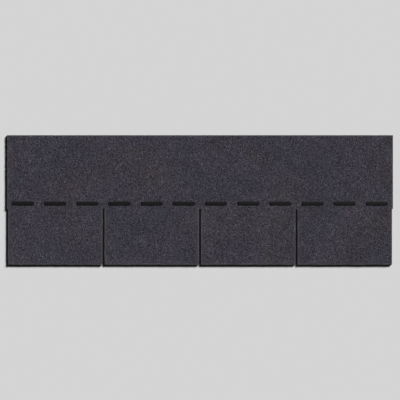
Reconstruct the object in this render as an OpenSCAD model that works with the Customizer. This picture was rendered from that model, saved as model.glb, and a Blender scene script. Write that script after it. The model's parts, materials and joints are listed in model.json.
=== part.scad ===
// Rectangular asphalt strip shingle, lying flat with its granule face up.
// X runs along the strip, Y points from the tabs to the headlap, and Z is up.
// The origin is the middle of the strip's underside. All sizes are in millimetres.

/* [Strip] */
// Height of the strip, from the tabs' lower edge to the upper edge
strip_height = 336; // [250:1:500]
// Thickness of the strip, with its granules
strip_thickness = 3; // [1.5:0.1:8]

/* [Tabs] */
// Number of tabs along the strip
tab_count = 4; // [2:1:6]
// Width of one tab with its share of the slots
tab_pitch = 250; // [100:1:400]
// Width of a slot between two tabs
slot_width = 5; // [3:0.5:16]
// Length of a slot, from the lower edge to its closed end
slot_length = 145; // [60:1:180]
// Radius that the die leaves on the lower corners of the tabs
tab_corner_radius = 1.5; // [0.5:0.1:6]

/* [Sealant] */
// Length of one dash of sealant
dash_length = 60; // [20:1:80]
// Width of one dash of sealant
dash_width = 12; // [6:0.5:18]
// Height of a dash above the granule face, and reach of its sloping flanks
dash_height = 0.8; // [0.4:0.1:2]
// Least gap between two dashes
dash_gap = 18; // [5:1:20]
// Distance from the closed ends of the slots to the middle of the dashes
dash_setback = 14; // [10:1:30]

/* [Release film] */
// Width of the film strip on the back
film_width = 25; // [10:1:40]
// Thickness of the film, and depth that it is pressed into the back coat
film_thickness = 0.05; // [0.05:0.01:0.5]

/* [Hidden] */

// Curves are smooth at this number of sides
$fn = 64;
// Cutters reach past the faces that they cut by this much
overcut = 1;

strip_length = tab_count * tab_pitch;
strip_end = strip_length / 2;
upper_edge = strip_height / 2;
lower_edge = -upper_edge;
slot_end = lower_edge + slot_length;

// The dashes and the film behind them share one line above the slots
dash_line = slot_end + dash_setback;
dashes_per_tab = floor(tab_pitch / (dash_length + dash_gap));
dash_pitch = tab_pitch / dashes_per_tab;
dash_count = tab_count * dashes_per_tab;
dash_straight = dash_length - dash_width;

granule_grey = [0.25, 0.24, 0.27];
sealant_black = [0.06, 0.06, 0.07];
film_grey = [0.80, 0.82, 0.84, 0.6];

// What the die takes off a square corner at the origin to leave it round
module corner_waste(radius) {
    difference() {
        square(radius);
        translate([radius, radius])
            circle(radius);
    }
}

// One slot with a round closed end and eased lower corners, open at y = 0
module slot_outline() {
    round_center = slot_length - slot_width / 2;
    translate([-slot_width / 2, -overcut])
        square([slot_width, round_center + overcut]);
    translate([0, round_center])
        circle(d = slot_width);
    for (side = [0, 1])
        mirror([side, 0])
            translate([slot_width / 2, 0])
                corner_waste(tab_corner_radius);
}

// The strip seen from above: slots between the tabs and half a slot at each end
module strip_outline() {
    difference() {
        translate([-strip_end, lower_edge])
            square([strip_length, strip_height]);
        for (slot = [0 : tab_count])
            translate([slot * tab_pitch - strip_end, lower_edge])
                slot_outline();
    }
}

// One flattened dash of sealant with sloping flanks and round ends, standing on z = 0
module sealant_dash() {
    half_base = dash_width / 2;
    half_top = half_base - dash_height;
    translate([-dash_straight / 2, 0, 0])
        rotate([90, 0, 90])
            linear_extrude(dash_straight)
                polygon([
                    [-half_base, 0],
                    [half_base, 0],
                    [half_top, dash_height],
                    [-half_top, dash_height]
                ]);
    for (end = [-1, 1])
        translate([end * dash_straight / 2, 0, 0])
            cylinder(h = dash_height, r1 = half_base, r2 = half_top);
}

module shingle_sheet() {
    color(granule_grey)
        difference() {
            linear_extrude(strip_thickness)
                strip_outline();
            translate([-strip_end - overcut, dash_line - film_width / 2, -overcut])
                cube([strip_length + 2 * overcut, film_width, overcut + film_thickness]);
        }
}

module sealant_dashes() {
    color(sealant_black)
        for (dash = [0 : dash_count - 1])
            translate([(dash + 0.5) * dash_pitch - strip_end, dash_line, strip_thickness])
                sealant_dash();
}

// The film is laid on before the die cuts the strip, so it ends where the strip does
module release_film() {
    color(film_grey)
        linear_extrude(film_thickness)
            intersection() {
                strip_outline();
                translate([-strip_end, dash_line - film_width / 2])
                    square([strip_length, film_width]);
            }
}

shingle_sheet();
sealant_dashes();
release_film();
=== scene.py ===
import json
import math

import bmesh
import bpy
import numpy as np
from bpy.props import FloatProperty, FloatVectorProperty, IntProperty, PointerProperty
from bpy.types import NodeSocket, Operator, Panel, PropertyGroup
from mathutils import Color, Euler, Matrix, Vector, noise


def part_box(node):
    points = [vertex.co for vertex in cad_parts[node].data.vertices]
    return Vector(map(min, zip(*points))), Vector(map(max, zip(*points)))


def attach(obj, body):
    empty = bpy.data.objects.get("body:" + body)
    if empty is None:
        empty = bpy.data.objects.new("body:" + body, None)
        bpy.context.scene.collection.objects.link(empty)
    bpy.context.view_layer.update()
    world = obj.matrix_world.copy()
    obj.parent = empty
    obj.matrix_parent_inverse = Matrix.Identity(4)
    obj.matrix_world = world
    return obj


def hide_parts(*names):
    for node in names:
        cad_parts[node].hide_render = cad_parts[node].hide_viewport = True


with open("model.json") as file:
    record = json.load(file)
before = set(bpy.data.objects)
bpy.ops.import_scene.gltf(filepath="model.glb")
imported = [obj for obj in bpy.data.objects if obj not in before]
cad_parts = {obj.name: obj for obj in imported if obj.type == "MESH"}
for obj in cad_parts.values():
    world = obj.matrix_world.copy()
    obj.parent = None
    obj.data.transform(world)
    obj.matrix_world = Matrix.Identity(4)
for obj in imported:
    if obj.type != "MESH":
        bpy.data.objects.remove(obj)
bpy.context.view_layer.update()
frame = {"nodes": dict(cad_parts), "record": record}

bl_info = {
    "name": "Asphalt Strip Shingle",
    "version": (1, 0, 0),
    "blender": (4, 5, 0),
    "location": "View3D > Sidebar > Shingle",
    "description": "Dresses a tabbed asphalt strip shingle with granules, sealant and a release film",
    "category": "Add Mesh",
}

# Places that come from the frame, in metres
SHEET_LOW, SHEET_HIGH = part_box("shingle_sheet")
DASH_LOW, DASH_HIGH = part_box("sealant_dashes")
FILM_LOW, FILM_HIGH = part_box("release_film")
STRIP_LENGTH = SHEET_HIGH.x - SHEET_LOW.x
STRIP_HEIGHT = SHEET_HIGH.y - SHEET_LOW.y
TAB_COUNT = len(frame["record"]["physics"]["openings"]) + 1
TAB_PITCH = STRIP_LENGTH / TAB_COUNT

# Name of the map that each granule piece carries, laid out as seen from above. The
# export keeps a map of this name for its own pictures of a piece's colours
BAKE_MAP = "OFBake"

# Points of a CAD mesh that are nearer than this are one point, and faces that turn less are one face
MERGE_DISTANCE = 1e-6
FLAT_ANGLE = math.radians(1)

# Finishes of the sheet, in the order of its materials, and the upright share that tells a cut edge
FACE, EDGE, BACK = range(3)
UPRIGHT = 0.5

# Waves per metre along the cut edges, and the band of the thickness where stones begin to show in them
EDGE_WAVES = 140
STONE_BAND = (0.55, 0.8)

# Sides of a granule
CHIP_SIDES = 3
# Radius of a granule's top, shift of its corners and its thickness, as shares of its radius
CHIP_TOP = 0.78
CHIP_UNEVEN = 0.16
CHIP_THICKNESS = 0.42
# Height of a granule's middle above the bed, as a share of its thickness
CHIP_LIFT = 0.3
# Least and most paling of the granules right at a cut edge: partly wear, partly a painted highlight where
# the edge catches the light
WEAR_AND_HIGHLIGHT_RANGE = (0.4, 1.0)

# Share of a dash's height where its flank stands upright
RIM_SHARE = 0.35
# Layers of noise, as (share, waves per metre), in a dash's outline and on its crown
RAGGED_LAYERS = ((0.7, 130), (0.5, 400))
RIPPLE_LAYERS = ((0.6, 90), (0.4, 300))

WHITE = (1.0, 1.0, 1.0)


# Settings


def srgb(*levels):
    """A colour given as 8-bit display levels, in the linear values that shaders use."""
    return tuple(Color([level / 255 for level in levels]).from_srgb_to_scene_linear())


def length_property(name, description, default):
    """A length in metres."""
    return FloatProperty(
        name=name, description=description, default=default, min=0, precision=5, unit="LENGTH",
    )


def count_property(name, description, default, least=0):
    """A whole number."""
    return IntProperty(name=name, description=description, default=default, min=least)


def share_property(name, description, default):
    """A share from nothing to all."""
    return FloatProperty(
        name=name, description=description, default=default, min=0, max=1, subtype="FACTOR",
    )


def angle_property(name, description, degrees):
    """An angle, with its default in degrees."""
    return FloatProperty(
        name=name, description=description, default=math.radians(degrees), subtype="ANGLE",
    )


def colour_property(name, description, default):
    """A colour in linear values."""
    return FloatVectorProperty(
        name=name, description=description, default=default, min=0, max=1, subtype="COLOR",
    )


class SheetSettings(PropertyGroup):
    """Sizes and colours of the bitumen sheet"""
    slot_width: length_property("Slot width", "Width of the slots between the tabs", 0.005)
    slot_length: length_property("Slot length", "Length of the slots, from the lower edge", 0.145)
    corner_radius: length_property("Corner radius", "Radius of the tabs' lower corners", 0.0015)
    bed_depth: length_property("Bed depth", "How far the bitumen lies below the granules' tops", 0.0005)
    edge_step: length_property("Edge step", "Spacing of the points along the cut edges", 0.004)
    edge_wander: length_property("Edge wander", "How far the cut edges stray inwards", 0.00025)
    bitumen: colour_property("Bitumen", "Colour of the bitumen", srgb(13, 12, 13))
    fines: colour_property("Fines", "Colour of the crushed fines between the granules", srgb(58, 54, 62))
    mat: colour_property("Mat", "Colour of the fibre mat in the cut edges", srgb(21, 19, 18))
    sand: colour_property("Sand", "Colour of the sand on the back", srgb(98, 94, 90))
    bare_tint: colour_property("Bare tint", "Tint of the back where it has less sand", (0.58, 0.57, 0.57))


class GranuleSettings(PropertyGroup):
    """Sizes and colours of the granules"""
    spacing: length_property("Spacing", "Distance between neighbouring granules", 0.00205)
    scatter: share_property("Scatter", "Random shift of a granule, as a share of the spacing", 0.7)
    smallest: length_property("Smallest", "Radius of the smallest granules", 0.0008)
    largest: length_property("Largest", "Radius of the largest granules", 0.00145)
    rim: length_property("Rim", "Least distance from a granule's middle to a cut edge", 0.0003)
    # The paler band is partly wear and partly a painted highlight where the cut edges catch the light
    worn_and_lit_rim: length_property("Worn and lit rim", "Width of the paler band along the cut edges", 0.005)
    seed: count_property("Seed", "Start of the random draws", 11)
    charcoal: colour_property("Charcoal", "Darkest granules", srgb(42, 41, 46))
    slate: colour_property("Slate", "Blue grey granules", srgb(71, 67, 78))
    umber: colour_property("Umber", "Brown grey granules", srgb(76, 72, 77))
    ash: colour_property("Ash", "Light grey granules", srgb(90, 87, 94))
    pale: colour_property("Pale", "Palest granules", srgb(108, 105, 112))
    brown_tint: colour_property("Brown tint", "Tint of the browner patches", (0.95, 0.92, 0.92))
    blue_tint: colour_property("Blue tint", "Tint of the bluer patches", (0.85, 0.92, 1.0))
    violet_tint: colour_property("Violet tint", "Tint of the rest of the face", (0.935, 0.92, 1.0))


class SealantSettings(PropertyGroup):
    """Sizes and colour of the sealant dashes"""
    crown_steps: count_property("Crown steps", "Rings up the crown of a dash", 6, least=2)
    end_points: count_property("End points", "Points round each end of a dash", 40, least=6)
    ripple: length_property("Ripple", "Depth of the ripples on the crown", 0.00016)
    ragged: length_property("Ragged edge", "How far the outline of a dash wanders", 0.0006)
    seed: count_property("Seed", "Start of the noise in the outlines", 11, least=1)
    colour: colour_property("Colour", "Colour of the sealant", srgb(11, 11, 13))


class FilmSettings(PropertyGroup):
    """Colours and creases of the release film"""
    colour: colour_property("Colour", "Colour of the film", srgb(150, 152, 156))
    cling: colour_property("Cling", "Colour of the film where it clings to the bitumen", srgb(72, 73, 76))
    crease: length_property("Crease", "Depth of the creases in the film", 0.0006)


class StageSettings(PropertyGroup):
    """Floor, light and camera"""
    floor_colour: colour_property("Floor", "Colour of the floor", (0.66, 0.66, 0.66))
    floor_size: length_property("Floor size", "Side of the floor", 30.0)
    view_width: length_property("View width", "Width of floor that the camera sees", STRIP_LENGTH * 1.036)
    lens: FloatProperty(name="Lens", description="Focal length of the camera", default=90, unit="CAMERA")
    light_height: angle_property("Light height", "Angle of the main light above the floor", 15)
    light_side: angle_property("Light side", "Turn of the main light to the right of the headlap", 45)
    light_spread: angle_property("Light spread", "Softness of the main light", 10)
    sky_share: share_property("Sky share", "Share of the floor's light that comes from all round", 0.012)


# Nodes


def opaque(colour):
    """A colour with full alpha, as sockets take it."""
    return (*colour, 1.0)


def set_values(node, **values):
    """Sets a node's options, and sets or links its sockets, by names with underscores for spaces."""
    sockets = {}
    for socket in node.inputs:
        # Where sockets share a name, the first is the one for plain numbers
        sockets.setdefault(socket.name.replace(" ", "_").lower(), socket)
    for name, value in values.items():
        if name not in sockets:
            setattr(node, name, value)
        elif isinstance(value, NodeSocket):
            node.id_data.links.new(value, sockets[name])
        else:
            sockets[name].default_value = value


def add_node(tree, kind, **values):
    """A new shader node with its options and sockets set."""
    node = tree.nodes.new("ShaderNode" + kind)
    set_values(node, **values)
    return node


def new_material(name, **values):
    """A material, its nodes and its shader, with the shader's sockets set."""
    material = bpy.data.materials.new(name)
    material.use_nodes = True
    shader = material.node_tree.nodes["Principled BSDF"]
    set_values(shader, **values)
    return material, material.node_tree, shader


def object_texture(tree, kind, stretch=None, **values):
    """A texture node on the piece's own coordinates, in metres, that may be stretched along an axis."""
    place = add_node(tree, "TexCoord").outputs["Object"]
    if stretch:
        place = add_node(tree, "Mapping", vector=place, scale=stretch).outputs["Vector"]
    return add_node(tree, kind, vector=place, **values)


def clouds(tree, **values):
    """Cloudy noise over the surface."""
    return object_texture(tree, "TexNoise", **values).outputs["Fac"]


def grains(tree, scale, channel):
    """Grains that fill the surface: the distance from the middle of each, and its own random number."""
    cells = object_texture(tree, "TexVoronoi", scale=scale)
    numbers = add_node(tree, "SeparateColor", color=cells.outputs["Color"])
    return cells.outputs["Distance"], numbers.outputs[channel]


def attribute(tree, name):
    """A number that the piece's points carry."""
    return add_node(tree, "Attribute", attribute_name=name).outputs["Fac"]


def ranged(tree, value, across, result):
    """A number that goes from one end of a result to the other as a value goes across its range."""
    node = add_node(
        tree, "MapRange", value=value,
        from_min=across[0], from_max=across[1], to_min=result[0], to_max=result[1],
    )
    return node.outputs["Result"]


def ramped(tree, factor, stops, interpolation="LINEAR"):
    """A colour that follows a factor over (position, colour) stops."""
    node = add_node(tree, "ValToRGB", fac=factor)
    node.color_ramp.interpolation = interpolation
    elements = node.color_ramp.elements
    elements.remove(elements[1])
    elements[0].position = stops[0][0]
    elements[0].color = opaque(stops[0][1])
    for position, colour in stops[1:]:
        elements.new(position).color = opaque(colour)
    return node.outputs["Color"]


def mixed(tree, factor, first, second, blend="MIX"):
    """A mix of two colours, by a factor that is a number or a socket."""
    mix = add_node(tree, "Mix", data_type="RGBA", blend_type=blend, factor=factor)
    sockets = {socket.identifier: socket for socket in [*mix.inputs, *mix.outputs]}
    tree.links.new(first, sockets["A_Color"])
    tree.links.new(second, sockets["B_Color"])
    return sockets["Result_Color"]


def bumped(tree, height, distance, invert=False):
    """A normal that raises the surface by a height, or sinks it."""
    return add_node(tree, "Bump", height=height, distance=distance, invert=invert).outputs["Normal"]


# Materials


def granule_material(settings):
    """Gritty crushed stone: one coat of colour to a granule, a slow drift in hue and shade, and paler
    granules along the cut edges that are partly wear and partly a painted highlight.
    """
    material, tree, shader = new_material("granules", specular_ior_level=0.15)
    tone = attribute(tree, "tone")
    coat = ramped(tree, tone, [
        (0.0, settings.charcoal),
        (0.27, settings.slate),
        (0.57, settings.umber),
        (0.81, settings.ash),
        (0.975, settings.pale),
    ], "CONSTANT")
    hue = clouds(tree, scale=7.0, detail=3.0, roughness=0.55)
    tint = ramped(tree, hue, [
        (0.40, settings.blue_tint),
        (0.47, settings.violet_tint),
        (0.53, settings.violet_tint),
        (0.60, settings.brown_tint),
    ])
    tinted = mixed(tree, 1.0, coat, tint, "MULTIPLY")
    shade = clouds(tree, scale=8.0, detail=7.0, roughness=0.75)
    level = ranged(tree, shade, across=(0.3, 0.7), result=(0.78, 1.22))
    shaded = add_node(tree, "HueSaturation", value=level, color=tinted).outputs["Color"]
    # Paler colours for the granules at the cut edges: partly wear, partly a painted highlight where the
    # edges catch the light
    rubbed_and_lit = ramped(tree, tone, [(0.0, settings.ash), (1.0, settings.pale)])
    grit = clouds(tree, scale=1600.0, detail=5.0, roughness=0.65)
    set_values(
        shader,
        base_color=mixed(tree, attribute(tree, "wear_and_highlight"), shaded, rubbed_and_lit),
        roughness=ranged(tree, grit, across=(0.35, 0.65), result=(0.75, 0.95)),
        normal=bumped(tree, grit, distance=0.0005),
    )
    return material


def bed_material(settings):
    """Bitumen between the granules, thick with crushed fines."""
    material, tree, shader = new_material("granule_bed", specular_ior_level=0.15)
    from_middle, number = grains(tree, scale=1100.0, channel="Red")
    set_values(
        shader,
        base_color=ramped(tree, number, [(0.25, settings.bitumen), (0.8, settings.fines)]),
        roughness=ranged(tree, number, across=(0.25, 0.8), result=(0.65, 0.9)),
        normal=bumped(tree, from_middle, distance=0.0004, invert=True),
    )
    return material


def cut_edge_material(settings):
    """The die-cut edge: black bitumen round a brownish fibre mat, with cut stones near the face."""
    material, tree, shader = new_material("cut_edge", specular_ior_level=0.03)
    fibres = clouds(tree, scale=420.0, detail=4.0, roughness=0.65)
    core = ramped(tree, fibres, [(0.45, settings.bitumen), (0.75, settings.mat)])
    number = grains(tree, scale=800.0, channel="Green")[1]
    stone = ramped(tree, number, [(0.8, settings.bitumen), (1.0, settings.fines)])
    place = add_node(tree, "TexCoord").outputs["Object"]
    height = add_node(tree, "SeparateXYZ", vector=place).outputs["Z"]
    band = [SHEET_HIGH.z * share for share in STONE_BAND]
    near_face = ranged(tree, height, across=band, result=(0.0, 1.0))
    set_values(
        shader,
        base_color=mixed(tree, near_face, core, stone),
        roughness=ranged(tree, fibres, across=(0.35, 0.7), result=(0.75, 0.95)),
        normal=bumped(tree, fibres, distance=0.0005),
    )
    return material


def back_material(settings):
    """The sanded back: bitumen dusted with fine sand, thinner in faint streaks along the strip."""
    material, tree, shader = new_material("sanded_back", specular_ior_level=0.2)
    from_middle, number = grains(tree, scale=1300.0, channel="Blue")
    sanded = ramped(tree, number, [(0.05, settings.bitumen), (0.95, settings.sand)])
    streaks = clouds(tree, stretch=(0.12, 1.0, 1.0), scale=45.0, detail=5.0, roughness=0.65)
    bare = ramped(tree, streaks, [(0.35, WHITE), (0.70, settings.bare_tint)])
    set_values(
        shader,
        base_color=mixed(tree, 1.0, sanded, bare, "MULTIPLY"),
        roughness=ranged(tree, number, across=(0.05, 0.95), result=(0.65, 0.95)),
        normal=bumped(tree, from_middle, distance=0.0002, invert=True),
    )
    return material


def sealant_material(settings):
    """Soft bitumen: deep black, with a dull skin in patches."""
    material, tree, shader = new_material("sealant", specular_ior_level=0.12)
    skin = clouds(tree, scale=160.0, detail=4.0, roughness=0.6)
    set_values(
        shader,
        base_color=opaque(settings.colour),
        roughness=ranged(tree, skin, across=(0.35, 0.7), result=(0.5, 0.75)),
        normal=bumped(tree, skin, distance=0.0006),
    )
    return material


def film_material(settings):
    """Milky film that clings darkly to the bitumen in places, with fine creases across it."""
    material, tree, shader = new_material("release_film")
    creases = clouds(tree, stretch=(1.0, 0.3, 1.0), scale=130.0, detail=5.0, roughness=0.6)
    set_values(
        shader,
        base_color=ramped(tree, creases, [(0.36, settings.cling), (0.62, settings.colour)]),
        roughness=ranged(tree, creases, across=(0.36, 0.62), result=(0.18, 0.32)),
        normal=bumped(tree, creases, distance=settings.crease),
    )
    return material


# Pieces


def link_object(name, data):
    """A new object in the scene, at the origin."""
    item = bpy.data.objects.new(name, data)
    bpy.context.scene.collection.objects.link(item)
    return item


def add_piece(name, mesh, slot, *replaced):
    """Puts a mesh in the scene as a piece that rides on the strip."""
    piece = link_object(name, mesh)
    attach(piece, "root")
    if replaced:
        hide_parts(*replaced)


def sort_by_place(items, place):
    """Sorts the points or faces of a bmesh by their places."""
    ranks = {item: rank for rank, item in enumerate(sorted(items, key=place))}
    items.sort(key=ranks.get)


def settle_order(shape):
    """Gives points and faces a fixed order, because extruding leaves them in another one in each run."""
    sort_by_place(shape.verts, lambda vert: vert.co[:])
    sort_by_place(shape.faces, lambda face: face.calc_center_median()[:])


def mesh_of(shape, name, materials):
    """A mesh from a bmesh, which is freed."""
    settle_order(shape)
    mesh = bpy.data.meshes.new(name)
    shape.to_mesh(mesh)
    shape.free()
    for material in materials:
        mesh.materials.append(material)
    return mesh


def cad_copy(node):
    """A CAD node's shape with its loose triangles joined into whole faces."""
    shape = bmesh.new()
    shape.from_mesh(frame["nodes"][node].data)
    bmesh.ops.remove_doubles(shape, verts=shape.verts, dist=MERGE_DISTANCE)
    bmesh.ops.dissolve_limit(shape, angle_limit=FLAT_ANGLE, verts=shape.verts, edges=shape.edges)
    return shape


def faces_of(geometry):
    """The faces among a bmesh operator's results."""
    return [item for item in geometry if isinstance(item, bmesh.types.BMFace)]


def with_rims(faces):
    """Faces with their own edges and points, each once and always in the same order."""
    geometry = dict.fromkeys(faces)
    for face in faces:
        geometry.update(dict.fromkeys([*face.edges, *face.verts]))
    return list(geometry)


def extrude_by(shape, faces, rise):
    """Extrudes faces straight up or down, and gives the faces at the far end."""
    made = bmesh.ops.extrude_face_region(shape, geom=with_rims(faces))["geom"]
    verts = [item for item in made if isinstance(item, bmesh.types.BMVert)]
    bmesh.ops.translate(shape, vec=(0, 0, rise), verts=verts)
    return faces_of(made)


def divide_edges(shape, step):
    """Divides the long edges into steps, so that the cut edges can wander."""
    groups = {}
    for edge in shape.edges:
        cuts = round(edge.calc_length() / step) - 1
        if cuts > 0:
            groups.setdefault(cuts, []).append(edge)
    for cuts, edges in groups.items():
        bmesh.ops.bisect_edges(shape, edges=edges, cuts=cuts)


def wander_inwards(face, amount):
    """Moves the outline of a face inwards by an uneven amount."""
    moves = {}
    for loop in face.loops:
        along = loop.link_loop_next.vert.co - loop.link_loop_prev.vert.co
        inwards = face.normal.cross(along).normalized()
        share = 0.5 + 0.5 * noise.noise(loop.vert.co * EDGE_WAVES)
        moves[loop.vert] = inwards * amount * share
    for vert, move in moves.items():
        vert.co += move


def sheet_side(normal):
    """The finish of a face of the sheet, from the way it looks."""
    if abs(normal.z) < UPRIGHT:
        return EDGE
    return FACE if normal.z > 0 else BACK


def make_sheet(settings):
    """The bitumen sheet: the CAD outline with ragged cut edges, and a groove for the film in its back."""
    shape = cad_copy("shingle_sheet")
    face = max(shape.faces, key=lambda item: item.calc_center_median().z)
    others = [item for item in shape.faces if item is not face]
    bmesh.ops.delete(shape, geom=others, context="FACES")
    divide_edges(shape, settings.edge_step)
    wander_inwards(face, settings.edge_wander)
    bmesh.ops.translate(shape, vec=(0, 0, -settings.bed_depth), verts=shape.verts)
    back = extrude_by(shape, [face], FILM_HIGH.z - SHEET_HIGH.z + settings.bed_depth)
    for line in (FILM_LOW.y, FILM_HIGH.y):
        cut = bmesh.ops.bisect_plane(
            shape, geom=with_rims(back), plane_co=(0, line, 0), plane_no=(0, 1, 0),
        )
        back = faces_of(cut["geom"])
    beside_film = [
        part for part in back
        if not FILM_LOW.y < part.calc_center_median().y < FILM_HIGH.y
    ]
    extrude_by(shape, beside_film, -FILM_HIGH.z)
    bmesh.ops.recalc_face_normals(shape, faces=shape.faces)
    for part in shape.faces:
        part.material_index = sheet_side(part.normal)
    materials = {
        FACE: bed_material(settings),
        EDGE: cut_edge_material(settings),
        BACK: back_material(settings),
    }
    return mesh_of(shape, "bitumen_sheet", materials.values())


def granule_chip():
    """One granule of unit radius: a flat-topped stone with seven faces showing, as points and triangles."""
    shape = bmesh.new()
    bmesh.ops.create_cone(
        shape, cap_ends=True, segments=CHIP_SIDES, radius1=1.0, radius2=CHIP_TOP, depth=1.0,
    )
    top = [vert for vert in shape.verts if vert.co.z > 0]
    bmesh.ops.rotate(shape, verts=top, matrix=Euler((0, 0, math.pi / CHIP_SIDES)).to_matrix())
    bmesh.ops.triangulate(shape, faces=shape.faces)
    shape.verts.index_update()
    points = np.array([vert.co[:] for vert in shape.verts])
    triangles = np.array([[vert.index for vert in face.verts] for face in shape.faces])
    shape.free()
    return points, triangles


def edge_distance(x, y, sheet):
    """Distance from points on the face to the nearest cut edge, which is negative off the sheet."""
    slot_x = SHEET_LOW.x + np.round((x - SHEET_LOW.x) / TAB_PITCH) * TAB_PITCH
    straight_end = SHEET_LOW.y + sheet.slot_length - sheet.slot_width / 2
    from_slot = np.hypot(x - slot_x, np.maximum(y - straight_end, 0)) - sheet.slot_width / 2
    from_lower_edge = y - SHEET_LOW.y
    short_x = np.maximum(sheet.corner_radius - from_slot, 0)
    short_y = np.maximum(sheet.corner_radius - from_lower_edge, 0)
    from_tab = np.where(
        (short_x > 0) & (short_y > 0),
        sheet.corner_radius - np.hypot(short_x, short_y),
        np.minimum(from_slot, from_lower_edge),
    )
    from_ends = np.minimum(x - SHEET_LOW.x, SHEET_HIGH.x - x)
    return np.minimum(from_tab, np.minimum(from_ends, SHEET_HIGH.y - y))


def granule_places(settings, sheet, random):
    """Middles of the granules, on a shaken hexagonal lattice, and their distances to the cut edges."""
    row_step = settings.spacing * math.sqrt(3) / 2
    column, row = np.meshgrid(
        np.arange(round(STRIP_LENGTH / settings.spacing) + 1),
        np.arange(round(STRIP_HEIGHT / row_step) + 1),
    )
    shake = random.uniform(-0.5, 0.5, (2, column.size)) * settings.spacing * settings.scatter
    x = SHEET_LOW.x + (column + 0.5 * (row % 2)).ravel() * settings.spacing + shake[0]
    y = SHEET_LOW.y + row.ravel() * row_step + shake[1]
    edge = edge_distance(x, y, sheet)
    kept = edge > settings.rim
    return x[kept], y[kept], edge[kept]


def granule_points(settings, sheet, random, x, y, edge):
    """Corner points of every granule, cut off at the sheet's edges and level with its face."""
    chip, triangles = granule_chip()
    count = len(x)
    radius = random.uniform(settings.smallest, settings.largest, count)[:, None]
    turn = random.uniform(0, 2 * math.pi, count)[:, None]
    uneven = chip + random.normal(0, CHIP_UNEVEN, (count, *chip.shape))
    chip_x, chip_y, chip_z = np.moveaxis(uneven, 2, 0)
    reach_x = radius * (np.cos(turn) * chip_x - np.sin(turn) * chip_y)
    reach_y = radius * (np.sin(turn) * chip_x + np.cos(turn) * chip_y)
    middle_x, middle_y, inside = x[:, None], y[:, None], edge[:, None]
    # A corner off the sheet is drawn back towards its granule's middle, as far as the cut edge
    corner_edge = edge_distance(middle_x + reach_x, middle_y + reach_y, sheet)
    kept = inside / (inside - np.minimum(corner_edge, 0))
    bed = SHEET_HIGH.z - sheet.bed_depth
    rise = CHIP_THICKNESS * (chip_z + CHIP_LIFT) * radius
    points = np.stack([
        middle_x + reach_x * kept,
        middle_y + reach_y * kept,
        np.minimum(bed + rise, SHEET_HIGH.z),
    ], axis=2)
    return points, triangles


def joined_chips(name, points, triangles, values, material):
    """One mesh of many granules, with a value of each kind per granule and a map seen from above."""
    corners = points.shape[1]
    faces = np.arange(len(points))[:, None, None] * corners + triangles
    flat = points.reshape(-1, 3)
    mesh = bpy.data.meshes.new(name)
    mesh.from_pydata(flat.tolist(), [], faces.reshape(-1, 3).tolist())
    for kind, per_chip in values.items():
        carried = mesh.attributes.new(kind, "FLOAT", "POINT")
        carried.data.foreach_set("value", np.repeat(per_chip, corners))
    low, high = flat[:, :2].min(0), flat[:, :2].max(0)
    placed = (flat[:, :2] - low) / (high - low)
    mesh.uv_layers.new(name=BAKE_MAP).data.foreach_set("uv", placed[faces.ravel()].ravel())
    mesh.materials.append(material)
    return mesh


def islands(shape):
    """The separate lumps of a bmesh, each as a list of its points."""
    lumps = []
    found = set()
    for start in shape.verts:
        if start in found:
            continue
        found.add(start)
        lump = [start]
        # The list grows while it is walked, until no neighbour is left
        for vert in lump:
            for edge in vert.link_edges:
                other = edge.other_vert(vert)
                if other not in found:
                    found.add(other)
                    lump.append(other)
        lumps.append(lump)
    return lumps


def dash_middles():
    """The middles of the dashes along the strip, and one dash's size, from the CAD node."""
    shape = cad_copy("sealant_dashes")
    boxes = []
    for lump in islands(shape):
        points = np.array([vert.co[:] for vert in lump])
        boxes.append((points.min(0), points.max(0)))
    shape.free()
    size = boxes[0][1] - boxes[0][0]
    return sorted((low[0] + high[0]) / 2 for low, high in boxes), size


def dash_outline(shape, straight, radius, end_points):
    """A flat face with a dash's outline: a half circle at each end and straight sides between them."""
    made = bmesh.ops.create_circle(shape, cap_ends=True, segments=end_points * 2, radius=radius)["verts"]
    half_step = math.pi / (end_points * 2)
    bmesh.ops.rotate(shape, verts=made, matrix=Euler((0, 0, half_step)).to_matrix())
    for vert in made:
        vert.co.x += math.copysign(straight / 2, vert.co.x)
    outline = made[0].link_faces[0]
    sides = [edge for edge in outline.edges if edge.calc_length() > straight / 2]
    bmesh.ops.bisect_edges(shape, edges=sides, cuts=end_points)
    return outline


def raise_crown(shape, crown, reach, height, steps):
    """Raises a face in rings that follow a quarter of an ellipse."""
    angles = [step * math.pi / 2 / steps for step in range(steps)]
    for angle, following in zip(angles, angles[1:]):
        bmesh.ops.inset_region(
            shape, faces=[crown], use_even_offset=True,
            thickness=reach * (math.cos(angle) - math.cos(following)),
            depth=height * (math.sin(following) - math.sin(angle)),
        )


def layered(sample, place, layers):
    """Layers of noise at a place, added up."""
    first, *others = [share * sample(place * waves) for share, waves in layers]
    return sum(others, first)


def make_dash(settings, middle, size, base):
    """One dash as a bmesh: a crowned bead with round ends, a ragged outline and a rippled crown."""
    straight = size[0] - size[1]
    radius = size[1] / 2 - settings.ragged
    height = DASH_HIGH.z - base
    rim_height = RIM_SHARE * height
    shape = bmesh.new()
    bottom = dash_outline(shape, straight, radius, settings.end_points)
    crown = extrude_by(shape, [bottom], rim_height)[0]
    bmesh.ops.recalc_face_normals(shape, faces=shape.faces)
    raise_crown(shape, crown, radius, height - rim_height - settings.ripple, settings.crown_steps)
    for vert in shape.verts:
        place = Vector((vert.co.x + middle[0], vert.co.y + middle[1], 0))
        wander = layered(noise.noise_vector, place, RAGGED_LAYERS) * settings.ragged
        swell = layered(noise.noise, place, RIPPLE_LAYERS) * settings.ripple
        lift = swell if vert.co.z > rim_height else 0
        vert.co = (place.x + wander.x, place.y + wander.y, base + vert.co.z + lift)
    return shape


# Stage


def add_floor(settings):
    """A plain matt floor under the strip."""
    shape = bmesh.new()
    bmesh.ops.create_grid(shape, x_segments=1, y_segments=1, size=settings.floor_size / 2)
    material = new_material(
        "floor", base_color=opaque(settings.floor_colour), roughness=1.0, specular_ior_level=0.0,
    )[0]
    link_object("floor", mesh_of(shape, "floor", [material]))


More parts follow.
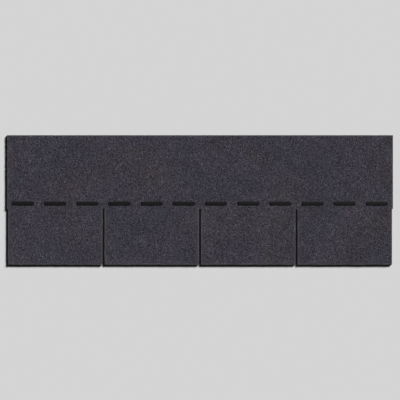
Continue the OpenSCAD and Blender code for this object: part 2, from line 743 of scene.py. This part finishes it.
def add_main_light(settings):
    """A soft light from one side, so strong that the floor renders in the colour it is given."""
    light = bpy.data.lights.new("main_light", "SUN")
    light.angle = settings.light_spread
    light.energy = math.pi * (1 - settings.sky_share) / math.sin(settings.light_height)
    tilt = math.pi / 2 - settings.light_height
    lamp = link_object("main_light", light)
    lamp.rotation_euler = Euler((-tilt, 0, -settings.light_side))


def studio_world(settings):
    """A world that lights the strip faintly from all round, and is seen as bright as the floor."""
    world = bpy.data.worlds.new("studio")
    world.use_nodes = True
    tree = world.node_tree
    path = add_node(tree, "LightPath")
    seen = path.outputs["Is Camera Ray"]
    for kind in ("Is Glossy Ray", "Is Transmission Ray"):
        either = add_node(tree, "Math", operation="MAXIMUM", value=seen)
        tree.links.new(path.outputs[kind], either.inputs[1])
        seen = either.outputs["Value"]
    brightness = (settings.sky_share, settings.floor_colour[0])
    strength = ranged(tree, seen, across=(0.0, 1.0), result=brightness)
    set_values(tree.nodes["Background"], color=opaque(WHITE), strength=strength)
    return world


def straight_down_camera(settings):
    """A camera above the middle of the strip."""
    camera = link_object("camera", bpy.data.cameras.new("camera"))
    camera.data.lens = settings.lens
    width_per_metre = camera.data.sensor_width / settings.lens
    camera.location = (0, 0, SHEET_HIGH.z + settings.view_width / width_per_metre)
    return camera


# Operators


class SHINGLE_OT_stage(Operator):
    """Set up the floor, the lights and a camera that looks straight down"""
    bl_idname = "shingle.stage"
    bl_label = "Stage"

    def execute(self, context):
        scene = context.scene
        settings = scene.shingle_stage
        scene.view_settings.view_transform = "Standard"
        add_floor(settings)
        add_main_light(settings)
        scene.world = studio_world(settings)
        scene.camera = straight_down_camera(settings)
        return {"FINISHED"}


class SHINGLE_OT_sheet(Operator):
    """Make the bitumen sheet with its cut edges and sanded back"""
    bl_idname = "shingle.sheet"
    bl_label = "Bitumen Sheet"

    def execute(self, context):
        mesh = make_sheet(context.scene.shingle_sheet)
        add_piece("bitumen_sheet", mesh, "granule_coat", "shingle_sheet")
        return {"FINISHED"}


class SHINGLE_OT_granules(Operator):
    """Press the granules into the face, one piece for each tab and the headlap above it"""
    bl_idname = "shingle.granules"
    bl_label = "Granules"

    def execute(self, context):
        settings = context.scene.shingle_granules
        sheet = context.scene.shingle_sheet
        random = np.random.default_rng(settings.seed)
        x, y, edge = granule_places(settings, sheet, random)
        points, triangles = granule_points(settings, sheet, random, x, y, edge)
        tone = random.uniform(0, 1, len(x))
        # Paling at the cut edges: partly wear, partly a painted highlight where the edges catch the light
        wear_and_highlight = np.clip(1 - edge / settings.worn_and_lit_rim, 0, 1) * random.uniform(*WEAR_AND_HIGHLIGHT_RANGE, len(x))
        tab = np.clip(np.floor((x - SHEET_LOW.x) / TAB_PITCH), 0, TAB_COUNT - 1)
        material = granule_material(settings)
        for index in range(TAB_COUNT):
            own = tab == index
            name = f"granules_tab_{index + 1}"
            values = {"tone": tone[own], "wear_and_highlight": wear_and_highlight[own]}
            mesh = joined_chips(name, points[own], triangles, values, material)
            add_piece(name, mesh, "granule_coat")
        return {"FINISHED"}


class SHINGLE_OT_sealant(Operator):
    """Lay the dashes of sealant on the face above the slots"""
    bl_idname = "shingle.sealant"
    bl_label = "Sealant Dashes"

    def execute(self, context):
        settings = context.scene.shingle_sealant
        base = SHEET_HIGH.z - context.scene.shingle_sheet.bed_depth
        dash_line = (DASH_LOW.y + DASH_HIGH.y) / 2
        middles, size = dash_middles()
        mesh = bpy.data.meshes.new("sealant_beads")
        # Vector noise starts from the clock where no seed is set
        noise.seed_set(settings.seed)
        for middle in middles:
            shape = make_dash(settings, (middle, dash_line), size, base)
            settle_order(shape)
            shape.from_mesh(mesh)
            shape.to_mesh(mesh)
            shape.free()
        mesh.shade_smooth()
        mesh.materials.append(sealant_material(settings))
        add_piece("sealant_beads", mesh, "sealant", "sealant_dashes")
        return {"FINISHED"}


class SHINGLE_OT_film(Operator):
    """Finish the release film on the back"""
    bl_idname = "shingle.film"
    bl_label = "Release Film"

    def execute(self, context):
        film = frame["nodes"]["release_film"]
        film.material_slots[0].material = film_material(context.scene.shingle_film)
        return {"FINISHED"}


# Each step's settings in the scene, and its operator
STEPS = (
    ("shingle_stage", StageSettings, SHINGLE_OT_stage),
    ("shingle_sheet", SheetSettings, SHINGLE_OT_sheet),
    ("shingle_granules", GranuleSettings, SHINGLE_OT_granules),
    ("shingle_sealant", SealantSettings, SHINGLE_OT_sealant),
    ("shingle_film", FilmSettings, SHINGLE_OT_film),
)


class SHINGLE_PT_pieces(Panel):
    """Lists the steps that dress the shingle, with their settings"""
    bl_idname = "SHINGLE_PT_pieces"
    bl_label = "Strip Shingle"
    bl_space_type = "VIEW_3D"
    bl_region_type = "UI"
    bl_category = "Shingle"

    def draw(self, context):
        for name, group, operator in STEPS:
            box = self.layout.box()
            box.operator(operator.bl_idname)
            for setting in group.__annotations__:
                box.prop(getattr(context.scene, name), setting)


def register():
    for name, group, operator in STEPS:
        bpy.utils.register_class(group)
        bpy.utils.register_class(operator)
        setattr(bpy.types.Scene, name, PointerProperty(type=group))
    bpy.utils.register_class(SHINGLE_PT_pieces)


def unregister():
    bpy.utils.unregister_class(SHINGLE_PT_pieces)
    for name, group, operator in reversed(STEPS):
        delattr(bpy.types.Scene, name)
        bpy.utils.unregister_class(operator)
        bpy.utils.unregister_class(group)


def main():
    register()
    bpy.ops.shingle.stage()
    bpy.ops.shingle.sheet()
    bpy.ops.shingle.granules()
    bpy.ops.shingle.sealant()
    bpy.ops.shingle.film()


if __name__ == "__main__":
    main()
